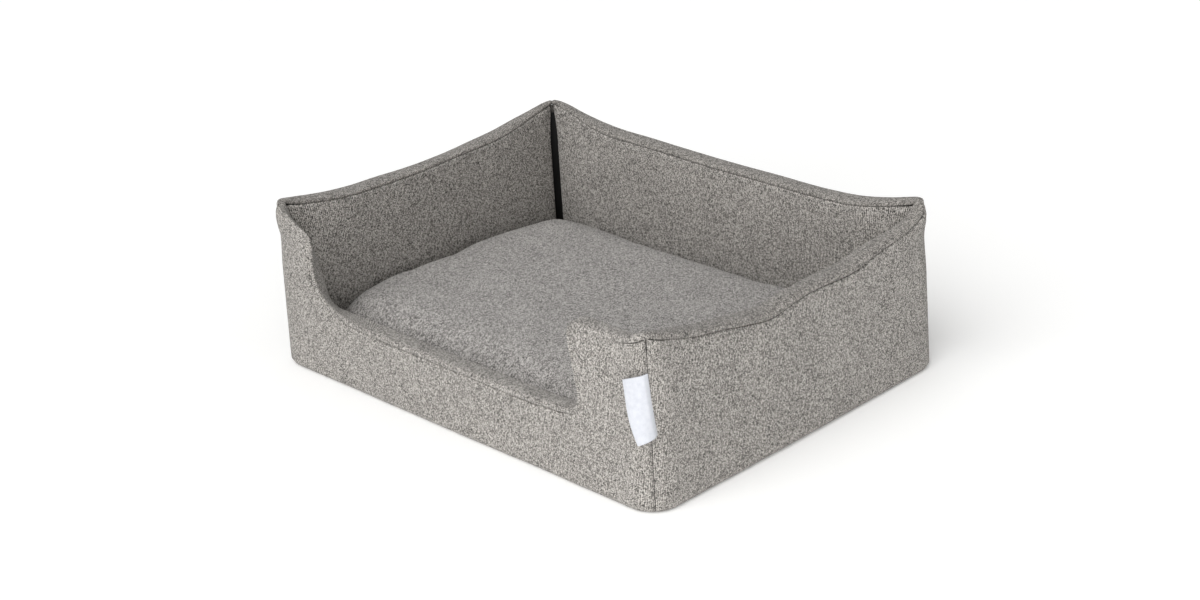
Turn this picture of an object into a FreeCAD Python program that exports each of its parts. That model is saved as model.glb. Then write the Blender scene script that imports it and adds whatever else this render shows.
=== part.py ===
import FreeCAD, Part
import math
import os

# Dog bed: four padded walls sewn round a floor, with a low entry in the front wall,
# and a loose cushion inside. Millimetres, +X along the front, +Y to the back, +Z up.
# The origin is on the floor at the middle of the bed. Sizes first.

# whole bed
length = 650.0
depth = 490.0
ear_height = 210.0
top_lean = 8.0  # how far an outer face leans in between the floor and the ears
base_corner_radius = 45.0
top_corner_radius = 26.0
bottom_edge_radius = 12.0
wall_base = 33.0  # a padded wall at the floor, cloth to cloth
cloth = 1.5  # thickness of the cover cloth
fit = 0.3  # room between a foam piece and the cloth round it
corner_slit = 6.0  # between two neighbouring walls' inner panels
stock_margin = 20.0  # how far the cutting blocks reach past the bed

# tops of the back and left walls: shoulders in from the corners, and a level stretch between
shoulder_run = 103.0
shoulder_height = 193.0
sag_half_width = 60.0
sag_height = 187.0

# top of the right wall, which sags more
right_shoulder_run = 87.0
right_shoulder_height = 184.0
right_sag_half_width = 80.0
right_sag_height = 169.0

# entry cut in the front wall
rim_height = 88.0
right_post_head = 125.0  # width of the right post at its top
right_post_foot = 113.0  # and at the rim
right_post_height = 184.0
right_post_corner = 9.0
right_foot_radius = 12.0
left_post_head = 83.0
left_post_foot = 86.0
left_post_height = 184.0
left_post_corner = 14.0
left_foot_radius = 32.0
brow_radius = 240.0  # rounds the gentle bends of a wall's top

# floor
pad_thickness = 10.0
pad_corner_radius = 4.0

# cushion
cushion_gap_side = 4.0
cushion_gap_back = 9.0
cushion_corner_radius = 46.0
edge_band = 22.0  # upright stretch of the cushion's side, which holds the zip
seam_height = 30.0  # of the cushion's side seam above the cushion's underside
crown_rise = 29.0  # of the top above the edge band
crown_inset = 110.0
belly_inset = 34.0
crown_steps = 6
belly_steps = 4
bag_cloth = 0.8
bag_side_gap = 3.5  # leaves room behind the zip
care_label_width = 28.0
care_label_drop = 24.0
care_label_offset = 215.0  # from the middle, along the back of the cushion

# zips: one low in the back wall's cover, one in the cushion's back edge
frame_zip_length = 430.0
frame_zip_height = 46.0
cushion_zip_length = 380.0
tape_thickness = 0.6
frame_tape_reach = 12.0  # from the middle of the zip to the tape's far edge
cushion_tape_reach = 8.0
tape_tail = 6.0  # tape past the stops
row_gap = 1.4  # between the two rows of teeth
row_width = 2.1
row_thickness = 1.8
stop_length = 3.0
slider_length = 11.0
slider_width = 8.6
slider_plate = 0.9
slider_flange = 1.1
slider_post = 0.7
slider_play = 0.3
slot_play = 0.6
bridge_length = 6.2
bridge_foot = 0.95
bridge_width = 1.8
bridge_window = 1.9
bridge_bar = 0.8
pull_pin_radius = 0.5
pull_thickness = 1.0
pull_arm_width = 1.0
pull_side_play = 0.4
pull_arm_reach = 5.8
pull_tab_length = 17.0
pull_tab_width = 7.0
pull_hole_radius = 1.8

# woven label in the seam at the front right corner
label_width = 37.0
label_height = 64.0
label_foot = 103.0
label_thickness = 1.0
label_stand_off = 0.5

floor_top = cloth + fit + pad_thickness + fit + cloth
stock_top = ear_height + stock_margin

# angle of each wall about +Z from the front wall, with its half run and half reach
walls = {
    "front": (0.0, length / 2, depth / 2),
    "right": (90.0, depth / 2, length / 2),
    "back": (180.0, length / 2, depth / 2),
    "left": (270.0, depth / 2, length / 2),
}


def lean_at(z):
    return top_lean * z / ear_height


def box(x_range, y_range, z_range):
    low = FreeCAD.Vector(x_range[0], y_range[0], z_range[0])
    return Part.makeBox(
        x_range[1] - x_range[0], y_range[1] - y_range[0], z_range[1] - z_range[0], low
    )


def rounded_rectangle(half_x, half_y, radius, z):
    # level closed wire with its four corners rounded
    edges = []
    starts = []
    ends = []
    for turn, side_x, side_y in ((270, 1, -1), (0, 1, 1), (90, -1, 1), (180, -1, -1)):
        centre = FreeCAD.Vector(side_x * (half_x - radius), side_y * (half_y - radius), z)
        points = []
        for part_turn in (0, 45, 90):
            angle = math.radians(turn + part_turn)
            points.append(centre + FreeCAD.Vector(math.cos(angle), math.sin(angle), 0) * radius)
        starts.append(points[0])
        ends.append(points[2])
        edges.append(Part.Arc(*points).toShape())
    for i in range(4):
        edges.append(Part.LineSegment(ends[i], starts[(i + 1) % 4]).toShape())
    return Part.Wire(Part.__sortEdges__(edges))


def plate(half_x, half_y, radius, low, thickness):
    face = Part.Face(rounded_rectangle(half_x, half_y, radius, low))
    return face.extrude(FreeCAD.Vector(0, 0, thickness))


def cover_block(inset):
    # everything inside the bed's outer faces, drawn in by inset, with no cut for the walls' tops
    wires = []
    for z, radius in ((inset, base_corner_radius), (stock_top, top_corner_radius)):
        half_x = length / 2 - inset - lean_at(z)
        half_y = depth / 2 - inset - lean_at(z)
        wires.append(rounded_rectangle(half_x, half_y, radius - inset, z))
    block = Part.makeLoft(wires, True, True)
    floor_edges = [e for e in block.Edges if e.BoundBox.ZMax < inset + fit]
    return block.makeFillet(bottom_edge_radius - inset, floor_edges)


def wall_stock(half_run, half_reach, inset, slit):
    # mitred block of one wall, as the front wall lies: its inner face, and both its mitred ends,
    # are drawn in by inset, and the ends also by half the slit
    shift = (slit / 2 + inset) * math.sqrt(2)
    near = half_reach - wall_base + inset
    far = half_reach + stock_margin
    near_end = half_run - half_reach + near - shift
    far_end = half_run - half_reach + far - shift
    corners = [(-near_end, -near), (near_end, -near), (far_end, -far), (-far_end, -far)]
    points = [FreeCAD.Vector(x, y, 0) for x, y in corners]
    return Part.Face(Part.makePolygon(points + points[:1])).extrude(FreeCAD.Vector(0, 0, stock_top))


def rounded_outline(corners, inset):
    # closed anticlockwise outline in the XZ plane, each corner given as (x, z, radius),
    # drawn in by inset with its bends kept concentric; a bend takes at most half of each side
    count = len(corners)
    points = [FreeCAD.Vector(x, 0, z) for x, z, radius in corners]
    directions = []
    sides = []
    for i in range(count):
        side = points[(i + 1) % count] - points[i]
        sides.append(side.Length)
        directions.append(side.normalize())
    edges = []
    starts = []
    ends = []
    for i in range(count):
        arrive = directions[i - 1]
        leave = directions[i]
        inward_before = FreeCAD.Vector(-arrive.z, 0, arrive.x)
        inward_after = FreeCAD.Vector(-leave.z, 0, leave.x)
        spread = (inward_before + inward_after) / (1 + inward_before.dot(inward_after))
        corner = points[i] + spread * inset
        convex = arrive.x * leave.z - arrive.z * leave.x > 0
        half_turn = arrive.getAngle(leave) / 2
        longest_reach = min(sides[i - 1], sides[i]) / 2
        radius = min(corners[i][2], longest_reach / math.tan(half_turn))
        if radius:
            radius += -inset if convex else inset
        reach = radius * math.tan(half_turn)
        starts.append(corner - arrive * reach)
        ends.append(corner + leave * reach)
        if radius:
            to_centre = (leave - arrive).normalize()
            sagitta = radius / math.cos(half_turn) - radius
            middle = corner + to_centre * sagitta
            edges.append(Part.Arc(starts[i], middle, ends[i]).toShape())
    for i in range(count):
        edges.append(Part.LineSegment(ends[i], starts[(i + 1) % count]).toShape())
    return Part.Wire(Part.__sortEdges__(edges))


def below_outline(corners, inset, half_reach):
    # everything under a wall's top edge, through the wall's whole thickness
    face = Part.Face(rounded_outline(corners, inset))
    face.translate(FreeCAD.Vector(0, -half_reach - stock_margin, 0))
    return face.extrude(FreeCAD.Vector(0, wall_base + 2 * stock_margin, 0))


def outline_of(half_run, top):
    # closes a wall's top edge, given from right to left, with a foot well below the floor
    outside = half_run + stock_margin
    foot = [(-outside, -stock_margin, 0), (outside, -stock_margin, 0)]
    return foot + [(outside, ear_height, 0)] + top + [(-outside, ear_height, 0)]


def sagging_top(half_run, shoulder, sag):
    # a wall's top from its right ear to its left one; shoulder is (run, height) from the
    # corner, and sag is (half width, height) of the level stretch in the middle
    right = [
        (half_run - wall_base, ear_height, 0),
        (half_run - shoulder[0], shoulder[1], brow_radius),
        (sag[0], sag[1], brow_radius),
    ]
    return right + [(-x, z, radius) for x, z, radius in reversed(right)]


def entry_top(half_run):
    # the front wall's top, with the entry cut between its two posts
    return [
        (half_run - wall_base, ear_height, 0),
        (half_run - right_post_head, right_post_height, right_post_corner),
        (half_run - right_post_foot, rim_height, right_foot_radius),
        (left_post_foot - half_run, rim_height, left_foot_radius),
        (left_post_head - half_run, left_post_height, left_post_corner),
        (wall_base - half_run, ear_height, 0),
    ]


def wall_outline(name, half_run):
    if name == "front":
        return outline_of(half_run, entry_top(half_run))
    if name == "right":
        shoulder = (right_shoulder_run, right_shoulder_height)
        sag = (right_sag_half_width, right_sag_height)
        return outline_of(half_run, sagging_top(half_run, shoulder, sag))
    shoulder = (shoulder_run, shoulder_height)
    sag = (sag_half_width, sag_height)
    return outline_of(half_run, sagging_top(half_run, shoulder, sag))


def turned(shape, angle):
    return shape.rotated(FreeCAD.Vector(0, 0, 0), FreeCAD.Vector(0, 0, 1), angle)


def wall_pieces(name):
    # board, outer panel, inner panel and top strip of one wall
    angle, half_run, half_reach = walls[name]
    outline = wall_outline(name, half_run)
    skins = {inset: turned(cover_block(inset), -angle) for inset in (0, cloth, cloth + fit)}
    tops = {inset: below_outline(outline, inset, half_reach) for inset in (0, cloth, cloth + fit)}
    mitred = wall_stock(half_run, half_reach, 0, 0)
    sleeve = wall_stock(half_run, half_reach, 0, corner_slit)
    lined = wall_stock(half_run, half_reach, cloth, corner_slit)
    filled = wall_stock(half_run, half_reach, cloth + fit, corner_slit)
    flat_floor = turned(floor_sheet(0), -angle)
    board = filled.common(skins[cloth + fit]).common(tops[cloth + fit])
    outer = mitred.common(skins[0]).common(tops[cloth]).cut(skins[cloth]).cut(flat_floor)
    inner = sleeve.cut(lined).common(skins[cloth]).common(tops[cloth])
    strip = mitred.common(skins[0]).common(tops[0]).cut(tops[cloth])
    pieces = {"foam_board": board, "outer_panel": outer, "inner_panel": inner, "top_strip": strip}
    return {piece + "_" + name: turned(shape, angle) for piece, shape in pieces.items()}


def floor_sheet(low):
    # non-slip cloth that the bed stands on, up to where the outer panels curve in under it
    half_x = length / 2 - bottom_edge_radius
    half_y = depth / 2 - bottom_edge_radius
    return plate(half_x, half_y, base_corner_radius - bottom_edge_radius, low, cloth)


def floor_layer(low, thickness):
    # a layer of the floor inside the four walls
    half_x = length / 2 - wall_base - fit
    half_y = depth / 2 - wall_base - fit
    return plate(half_x, half_y, pad_corner_radius, low, thickness)


def floor_pieces():
    return {
        "bottom_panel": floor_sheet(0),
        "base_pad": floor_layer(cloth + fit, pad_thickness),
        "floor_lining": floor_layer(floor_top - cloth, cloth),
    }


def label_piece():
    # follows the rounded corner from its seam round to the front face
    arc_end = length / 2 - base_corner_radius
    inner = cover_block(-label_stand_off)
    outer = cover_block(-label_stand_off - label_thickness)
    mitred = wall_stock(length / 2, depth / 2, 0, 0)
    far_x = arc_end + base_corner_radius * math.pi / 4 - label_width
    band = box(
        (far_x, length), (-depth, 0), (label_foot, label_foot + label_height)
    )
    return outer.cut(inner).common(mitred).common(band)


def pillow(side_inset, height_inset):
    # the cushion's shape, drawn in at the sides and at top and bottom
    half_x = length / 2 - wall_base - cushion_gap_side - side_inset
    half_y = depth / 2 - wall_base - (cushion_gap_side + cushion_gap_back) / 2 - side_inset
    radius = cushion_corner_radius - side_inset
    low = floor_top + fit + height_inset
    band_low = floor_top + fit + seam_height - edge_band / 2
    band_high = band_low + edge_band
    belly = band_low - low
    crown = crown_rise - height_inset
    sections = []
    for i in range(belly_steps, 0, -1):
        angle = math.pi / 2 * i / belly_steps
        sections.append((belly_inset * (1 - math.cos(angle)), band_low - belly * math.sin(angle)))
    for i in range(crown_steps + 1):
        angle = math.pi / 2 * i / crown_steps
        sections.append((crown_inset * (1 - math.cos(angle)), band_high + crown * math.sin(angle)))
    sections.insert(belly_steps, (0, band_low))
    wires = []
    for inset, z in sections:
        wires.append(rounded_rectangle(half_x - inset, half_y - inset, radius, z))
    shape = Part.makeLoft(wires, True, True)
    shape.translate(FreeCAD.Vector(0, cushion_middle_y(), 0))
    return shape


def cushion_middle_y():
    return (cushion_gap_side - cushion_gap_back) / 2


def cushion_back_y():
    return depth / 2 - wall_base - cushion_gap_back


def cushion_seam_z():
    return floor_top + fit + seam_height


def cushion_pieces():
    seam_z = cushion_seam_z()
    shell = pillow(0, 0).cut(pillow(cloth, cloth)).cut(on_cushion(zip_slot(cushion_zip_length)))
    above = box((-length, length), (-depth, depth), (seam_z, 2 * stock_top))
    bag_side = cloth + bag_side_gap
    bag_height = cloth + fit
    filling_side = bag_side + bag_cloth + fit
    filling_height = bag_height + bag_cloth + fit
    bag = pillow(bag_side, bag_height).cut(pillow(bag_side + bag_cloth, bag_height + bag_cloth))
    return {
        "cushion_filling": pillow(filling_side, filling_height),
        "cushion_inner_bag": bag,
        "cushion_cover_top": shell.common(above),
        "cushion_cover_bottom": shell.cut(above),
        "care_label": care_label_piece(),
    }


def care_label_piece():
    # hangs from the cushion's back seam
    near = cushion_back_y() + fit
    left = -care_label_offset - care_label_width
    top = cushion_seam_z() + fit
    return box((left, -care_label_offset), (near, near + fit), (top - care_label_drop, top))


# Zips are drawn with x along the zip, y out of the cloth from its outer face, z across.


def zip_slot(zip_length):
    # opening in the cloth that shows the teeth and lets the slider run
    half_x = zip_length / 2 + stop_length
    half_z = slider_width / 2 + slot_play
    return box((-half_x, half_x), (-cloth, row_thickness), (-half_z, half_z))


def zip_recess(zip_length, tape_reach):
    # room behind the cloth for the tapes and the back of the slider
    half_x = zip_length / 2 + stop_length + tape_tail + slider_play
    deep = cloth + tape_thickness + slider_plate + 2 * slider_play
    half_z = tape_reach + slider_play
    return box((-half_x, half_x), (-deep, 0), (-half_z, half_z))


def slider_piece():
    # two plates joined by a post between the rows, flanges outside the rows, a bridge on top
    half_x = slider_length / 2
    half_z = slider_width / 2
    tape_back = -cloth - tape_thickness
    under = tape_back - slider_play
    over = row_thickness - cloth + slider_play
    top = over + slider_plate
    back = box((-half_x, half_x), (under - slider_plate, under), (-half_z, half_z))
    front = box((-half_x, half_x), (over, top), (-half_z, half_z))
    post_x = (half_x - slider_flange, half_x)
    post = box(post_x, (under, over), (-slider_post / 2, slider_post / 2))
    shape = back.fuse(front).fuse(post)
    for side in (-1, 1):
        z_range = sorted((side * half_z, side * (half_z - slider_flange)))
        shape = shape.fuse(box((-half_x, half_x), (slider_play - cloth, over), z_range))
    arch_top = top + bridge_window + bridge_bar
    arch_z = (-bridge_width / 2, bridge_width / 2)
    arch = box((-bridge_length / 2, bridge_length / 2), (top, arch_top), arch_z)
    window_x = bridge_length / 2 - bridge_foot
    window = box((-window_x, window_x), (top, top + bridge_window), arch_z)
    return shape.fuse(arch.cut(window)).removeSplitter()


def pull_pin_height():
    return row_thickness - cloth + slider_play + slider_plate + bridge_window / 2


def pull_piece():
    # a pin under the bridge, two arms past its sides and a flat tab with a hole
    height = pull_pin_height()
    inner_z = bridge_width / 2 + pull_side_play
    outer_z = inner_z + pull_arm_width
    pin = Part.makeCylinder(
        pull_pin_radius, 2 * outer_z, FreeCAD.Vector(0, height, -outer_z), FreeCAD.Vector(0, 0, 1)
    )
    y_range = (height - pull_thickness / 2, height + pull_thickness / 2)
    shape = pin
    for side in (-1, 1):
        z_range = sorted((side * inner_z, side * outer_z))
        shape = shape.fuse(box((-pull_arm_reach, 0), y_range, z_range))
    tab_end = -pull_arm_reach - pull_tab_length
    tab_z = (-pull_tab_width / 2, pull_tab_width / 2)
    tab = box((tab_end, -pull_arm_reach), y_range, tab_z)
    far_corners = [
        e for e in tab.Edges if e.BoundBox.XMax < tab_end + fit and e.Length < pull_tab_width / 2
    ]
    tab = tab.makeFillet(pull_tab_width / 2 - pull_thickness, far_corners)
    hole_x = tab_end + pull_tab_width / 2
    hole = Part.makeCylinder(
        pull_hole_radius, pull_thickness, FreeCAD.Vector(hole_x, y_range[0], 0), FreeCAD.Vector(0, 1, 0)
    )
    return shape.fuse(tab.cut(hole)).removeSplitter()


def zip_pieces(prefix, zip_length, tape_reach):
    # a closed zip with its slider at the +X end
    half = zip_length / 2
    row_y = (-cloth, row_thickness - cloth)
    tape_y = (-cloth - tape_thickness, -cloth)
    tape_x = half + stop_length + tape_tail
    row_inner = row_gap / 2
    row_outer = row_inner + row_width
    slider_x = slider_rest_x(zip_length)
    pieces = {}
    for side, side_name in ((1, "upper"), (-1, "lower")):
        tape_z = sorted((side * row_inner, side * tape_reach))
        row_z = sorted((side * row_inner, side * row_outer))
        pieces["tape_" + side_name] = box((-tape_x, tape_x), tape_y, tape_z)
        pieces["teeth_" + side_name] = box((-half, half), row_y, row_z)
    for end, end_name in ((1, "top"), (-1, "bottom")):
        x_range = sorted((end * half, end * (half + stop_length)))
        pieces["stop_" + end_name] = box(x_range, row_y, (-row_outer, row_outer))
    for name, shape in (("slider", slider_piece()), ("pull", pull_piece())):
        shape.translate(FreeCAD.Vector(slider_x, 0, 0))
        pieces[name] = shape
    return {prefix + "_" + name: shape for name, shape in pieces.items()}


def slider_rest_x(zip_length):
    return zip_length / 2 - slider_length / 2 - slider_play


def on_back_wall(shape):
    # from the zip's own axes to its place low on the leaning back wall
    lean = math.degrees(math.atan2(top_lean, ear_height))
    placed = shape.rotated(FreeCAD.Vector(0, 0, 0), FreeCAD.Vector(1, 0, 0), lean)
    placed.translate(FreeCAD.Vector(0, depth / 2 - lean_at(frame_zip_height), frame_zip_height))
    return placed


def on_cushion(shape):
    # from the zip's own axes to its place in the cushion's back edge
    placed = shape.copy()
    placed.translate(FreeCAD.Vector(0, cushion_back_y(), cushion_seam_z()))
    return placed


def all_pieces():
    pieces = {}
    for name in walls:
        pieces.update(wall_pieces(name))
    slot = on_back_wall(zip_slot(frame_zip_length))
    recess = on_back_wall(zip_recess(frame_zip_length, frame_tape_reach))
    pieces["outer_panel_back"] = pieces["outer_panel_back"].cut(slot)
    pieces["foam_board_back"] = pieces["foam_board_back"].cut(recess)
    pieces.update(floor_pieces())
    pieces["label"] = label_piece()
    frame_zip = zip_pieces("frame_zip", frame_zip_length, frame_tape_reach)
    pieces.update({name: on_back_wall(shape) for name, shape in frame_zip.items()})
    pieces.update(cushion_pieces())
    cushion_zip = zip_pieces("cushion_zip", cushion_zip_length, cushion_tape_reach)
    pieces.update({name: on_cushion(shape) for name, shape in cushion_zip.items()})
    return pieces


os.makedirs("parts", exist_ok=True)
for name, shape in all_pieces().items():
    print(name, len(shape.Solids), "solid", "valid" if shape.isValid() else "NOT VALID")
    shape.exportStep("parts/" + name + ".step")
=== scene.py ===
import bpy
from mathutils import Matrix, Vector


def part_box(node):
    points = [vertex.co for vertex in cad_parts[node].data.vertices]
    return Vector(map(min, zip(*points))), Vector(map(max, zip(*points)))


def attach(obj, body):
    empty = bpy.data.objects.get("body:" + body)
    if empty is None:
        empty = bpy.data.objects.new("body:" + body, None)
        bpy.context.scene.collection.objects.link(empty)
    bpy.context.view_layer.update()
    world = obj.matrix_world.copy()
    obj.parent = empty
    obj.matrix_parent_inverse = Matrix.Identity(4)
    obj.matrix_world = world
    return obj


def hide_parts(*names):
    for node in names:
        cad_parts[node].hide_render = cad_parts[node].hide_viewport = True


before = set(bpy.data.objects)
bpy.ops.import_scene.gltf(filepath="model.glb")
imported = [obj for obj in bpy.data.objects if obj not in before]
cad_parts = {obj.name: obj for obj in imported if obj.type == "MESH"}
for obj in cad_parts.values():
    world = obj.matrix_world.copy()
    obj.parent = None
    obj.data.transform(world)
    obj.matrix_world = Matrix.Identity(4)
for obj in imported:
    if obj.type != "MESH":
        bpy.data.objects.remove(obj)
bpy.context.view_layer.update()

import math

import bmesh
import bpy
import numpy as np
from mathutils import Matrix, Vector, noise
from mathutils.bvhtree import BVHTree
from mathutils.geometry import delaunay_2d_cdt

# Padded dog bed: cloth-covered foam walls round a loose cushion. Metres, +X along the front.
# s runs along a wall from left to right as seen from outside, z is up.
mm = 0.001
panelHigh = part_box("bottom_panel")[1]
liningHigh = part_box("floor_lining")[1]
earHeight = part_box("top_strip_back")[1].z

bed = {
    "panelGap": 12 * mm,  # from the under cloth's edge to the outer faces
    "footRoll": 8 * mm,  # radius under the outer faces
    "liningGap": 0.3 * mm,
    "lean": 8 * mm,  # of the outer faces, from the floor to the tips of the ears
    "footCorner": 38 * mm,
    "earCorner": 26 * mm,
    "cornerRun": 60 * mm,  # stretch of a wall that takes up the rounding of its corner
    "slit": 10 * mm,  # gap between two walls at an inner corner
    "slitRoll": 3 * mm,
    "slitDepth": 21 * mm,  # how far the inner cloths run back into it
    "slitTop": 162 * mm,  # the gap closes above this
    "slitGap": 0.8 * mm,  # what each side keeps open at the tip
    "fade": 0.8,  # the slit grows this much shallower
    "fadeLow": 105 * mm,
    "fadeRun": 65 * mm,
    "pinch": 10 * mm,  # how far the inside of an ear draws out to its tip
    "pinchRun": 80 * mm,
    "pinchLow": 95 * mm,
    "closingRun": 40 * mm,
}
halfLength = panelHigh.x + bed["panelGap"]
halfDepth = panelHigh.y + bed["panelGap"]
wallThickness = halfLength - liningHigh.x - bed["liningGap"]

# turn about +Z, half run and half reach of each wall
walls = {
    "front": (0, halfLength, halfDepth),
    "right": (90, halfDepth, halfLength),
    "back": (180, halfLength, halfDepth),
    "left": (270, halfDepth, halfLength),
}

# tops of the walls in millimetres: s and z of the outer seam, then s and z of the inner seam
wallTops = {
    "front": [
        (-325, 209, -292, 208), (-314, 207, -291, 202), (-297, 202.5, -288, 193),
        (-279, 197, -284, 184), (-263, 189.5, -278, 177), (-249, 184.5, -271, 170),
        (-240, 179.5, -270, 163), (-238, 170, -266, 154), (-239, 157, -262.5, 145),
        (-240, 143, -260, 136), (-238.5, 131, -258, 126), (-235, 119, -256, 115),
        (-226, 108, -254, 104), (-209, 98, -250, 92), (-183, 91, -238, 83), (-152, 88, -198, 81.5),
        (-125, 86.5, -140, 81.5), (-60, 85.5, -60, 81), (0, 85, 0, 80.5), (60, 84.5, 60, 80.5),
        (117, 84, 117, 80.5), (165, 86, 164, 82.5), (192, 89, 190, 86),
        (205, 92.5, 202, 91), (211.5, 101, 208.5, 101), (212, 113, 209, 113),
        (208.5, 131, 205.5, 131), (204.5, 150, 201.5, 150), (201, 166, 198, 166),
        (199.5, 178, 197, 178), (202, 187, 200, 187), (209, 191, 208, 190.5),
        (222, 191.5, 220, 191), (242, 192.5, 238, 192), (262, 193.5, 255, 193),
        (281, 195, 268, 194.5), (297, 197.5, 279, 197), (312, 201, 287, 200.5),
        (325, 205, 292, 204),
    ],
    "right": [
        (-245, 205, -212, 204), (-232, 202.5, -203, 200), (-191, 193, -172, 190),
        (-158, 184, -147, 181), (-124, 178.5, -115, 175.5), (-80, 169, -70, 168.5),
        (-44, 164, -38, 166), (-20, 167.5, -12, 168), (10, 171.5, 14, 169.5),
        (38, 172, 40, 170.5), (76, 170.5, 76, 170.5), (97, 171, 98, 171.5),
        (118, 175.5, 118, 174), (149, 181, 146, 178), (188, 186.5, 176, 183.5),
        (215, 194, 196, 191), (232, 201, 206, 199), (245, 208.5, 212, 206.5),
    ],
    "back": [
        (-325, 208.5, -292, 206.5), (-308, 206.5, -286, 203), (-266, 198, -250, 193),
        (-215, 188.5, -208, 186.5), (-171, 185.5, -168, 185), (-80, 186, -80, 185.5),
        (15, 186.5, 15, 186.5), (126, 190, 126, 189.5), (206, 193, 200, 192.5),
        (250, 199, 236, 200.5), (285, 205.5, 266, 207.5), (312, 209, 284, 211),
        (325, 210.5, 292, 212),
    ],
    "left": [
        (-245, 210.5, -212, 212), (-232, 208.5, -204, 209.5), (-200, 204.5, -180, 204.5),
        (-168, 201, -152, 199.5), (-124, 195, -112, 193), (-83, 192, -78, 191.5),
        (-41, 188.5, -40, 190.5), (0, 187.5, 0, 188.5), (38, 188.5, 40, 188.2),
        (76, 190.5, 76, 188.8), (114, 191.5, 112, 190), (151, 195, 144, 192),
        (188, 201, 174, 196.5), (220, 205.5, 198, 202), (235, 208, 208, 206),
        (245, 209, 212, 208),
    ],
}


def smoothStep(x):
    x = np.clip(x, 0, 1)
    return x * x * (3 - 2 * x)


def columns(*values):
    # points from their coordinates, where one number serves a whole column
    return np.column_stack(np.broadcast_arrays(*values))


def turned(points, turn):
    angle = math.radians(turn)
    x = points[:, 0] * math.cos(angle) - points[:, 1] * math.sin(angle)
    y = points[:, 0] * math.sin(angle) + points[:, 1] * math.cos(angle)
    return np.column_stack((x, y, points[:, 2]))


def outerPoints(wall, s, z, inward):
    # places on a wall's outer face, which leans in and rounds its corners
    turn, halfRun, halfReach = walls[wall]
    lean = bed["lean"] * z / earHeight
    radius = bed["footCorner"] + (bed["earCorner"] - bed["footCorner"]) * z / earHeight
    straight = halfRun - lean - radius
    start = halfRun - bed["cornerRun"]
    run = np.abs(s)
    squeeze = (straight + radius * math.pi / 4 - start) / bed["cornerRun"]
    run = np.where(run > start, start + (run - start) * squeeze, run)
    angle = np.clip((run - straight) / radius, 0, None)
    x = np.minimum(run, straight) + (radius - inward) * np.sin(angle)
    y = halfReach - lean - radius + (radius - inward) * np.cos(angle)
    return turned(np.column_stack((np.sign(s) * x, -y, z)), turn)


def earPinch(wall, s, z):
    # how far the inner faces draw out towards the thin tips of the ears
    end = walls[wall][1] - wallThickness
    near = smoothStep((np.abs(s) - end + bed["pinchRun"]) / bed["pinchRun"])
    return bed["pinch"] * near * smoothStep((z - bed["pinchLow"]) / (earHeight - bed["pinchLow"]))


def slitClosing(wall, s, z):
    # how far the ends of an inner face draw together over the top of a slit
    end = walls[wall][1] - wallThickness
    near = smoothStep((np.abs(s) - end + bed["closingRun"]) / bed["closingRun"])
    rise = smoothStep((z - bed["slitTop"]) / (earHeight - bed["slitTop"]))
    return (bed["slit"] / 2 - bed["slitGap"]) * near * rise


def innerPoints(wall, s, z, inward):
    # places on a wall's inner face, which is upright; s past the ends goes round into the slits
    turn, halfRun, halfReach = walls[wall]
    pinch = earPinch(wall, s, z)
    closing = slitClosing(wall, s, z)
    roll = bed["slitRoll"]
    end = halfRun - wallThickness - bed["slit"] / 2
    over = np.clip(np.abs(s) - (end - roll), 0, None)
    angle = np.minimum(over / roll, math.pi / 2)
    past = np.clip(over - roll * math.pi / 2, 0, None)
    past = past * (1 - bed["fade"] * smoothStep((z - bed["fadeLow"]) / bed["fadeRun"]))
    x = np.minimum(np.abs(s), end - roll) + (roll - inward) * np.sin(angle) + pinch + closing
    y = halfReach - wallThickness + roll * (1 - np.cos(angle)) + past
    y = y + inward * np.cos(angle) + pinch
    return turned(np.column_stack((np.sign(s) * x, -y, z)), turn)


def planeInside(wall, s, z):
    # places on a wall's inner face, with square ends
    turn, halfRun, halfReach = walls[wall]
    pinch = earPinch(wall, s, z)
    flat = np.column_stack((s + np.sign(s) * pinch, wallThickness - halfReach - pinch, z))
    return turned(flat, turn)


def runsAlong(path):
    # length along a path at each of its points
    return np.concatenate(([0], np.cumsum(np.hypot(*np.diff(path, axis=0).T))))


def smoothPath(keys, spacing):
    # a smooth line through rows of key values, spaced by the length along its first two
    keys = np.array(keys, float)
    knots = runsAlong(keys[:, :2])
    slopes = np.gradient(keys, knots, axis=0)
    at = np.linspace(0, knots[-1], int(round(knots[-1] / spacing)) + 1)
    i = np.clip(np.searchsorted(knots, at, "right") - 1, 0, len(knots) - 2)
    step = (knots[i + 1] - knots[i])[:, None]
    t = (at - knots[i])[:, None] / step
    start = (2 * t**3 - 3 * t**2 + 1) * keys[i] + (t**3 - 2 * t**2 + t) * step * slopes[i]
    return start + (3 * t**2 - 2 * t**3) * keys[i + 1] + (t**3 - t**2) * step * slopes[i + 1]


def pathNormals(path):
    along = np.gradient(path, axis=0)
    along /= np.linalg.norm(along, axis=1)[:, None]
    return np.column_stack((-along[:, 1], along[:, 0]))


def waves(points, size, seed):
    # smooth noise from -1 to 1, the same on every run
    shift = Vector((seed * 7.31, seed * 3.17, seed * 5.93))
    return np.array([noise.noise(Vector(p) / size + shift) for p in points])


def roll(distance, reach, depth):
    # how far cloth dips on its way into a seam
    t = np.clip(1 - distance / reach, 0, 1)
    return depth * (1 - np.sqrt(1 - t * t))


def linePoints(low, high, spacing):
    return np.linspace(low, high, max(int(round(abs(high - low) / spacing)), 1) + 1)


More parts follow.
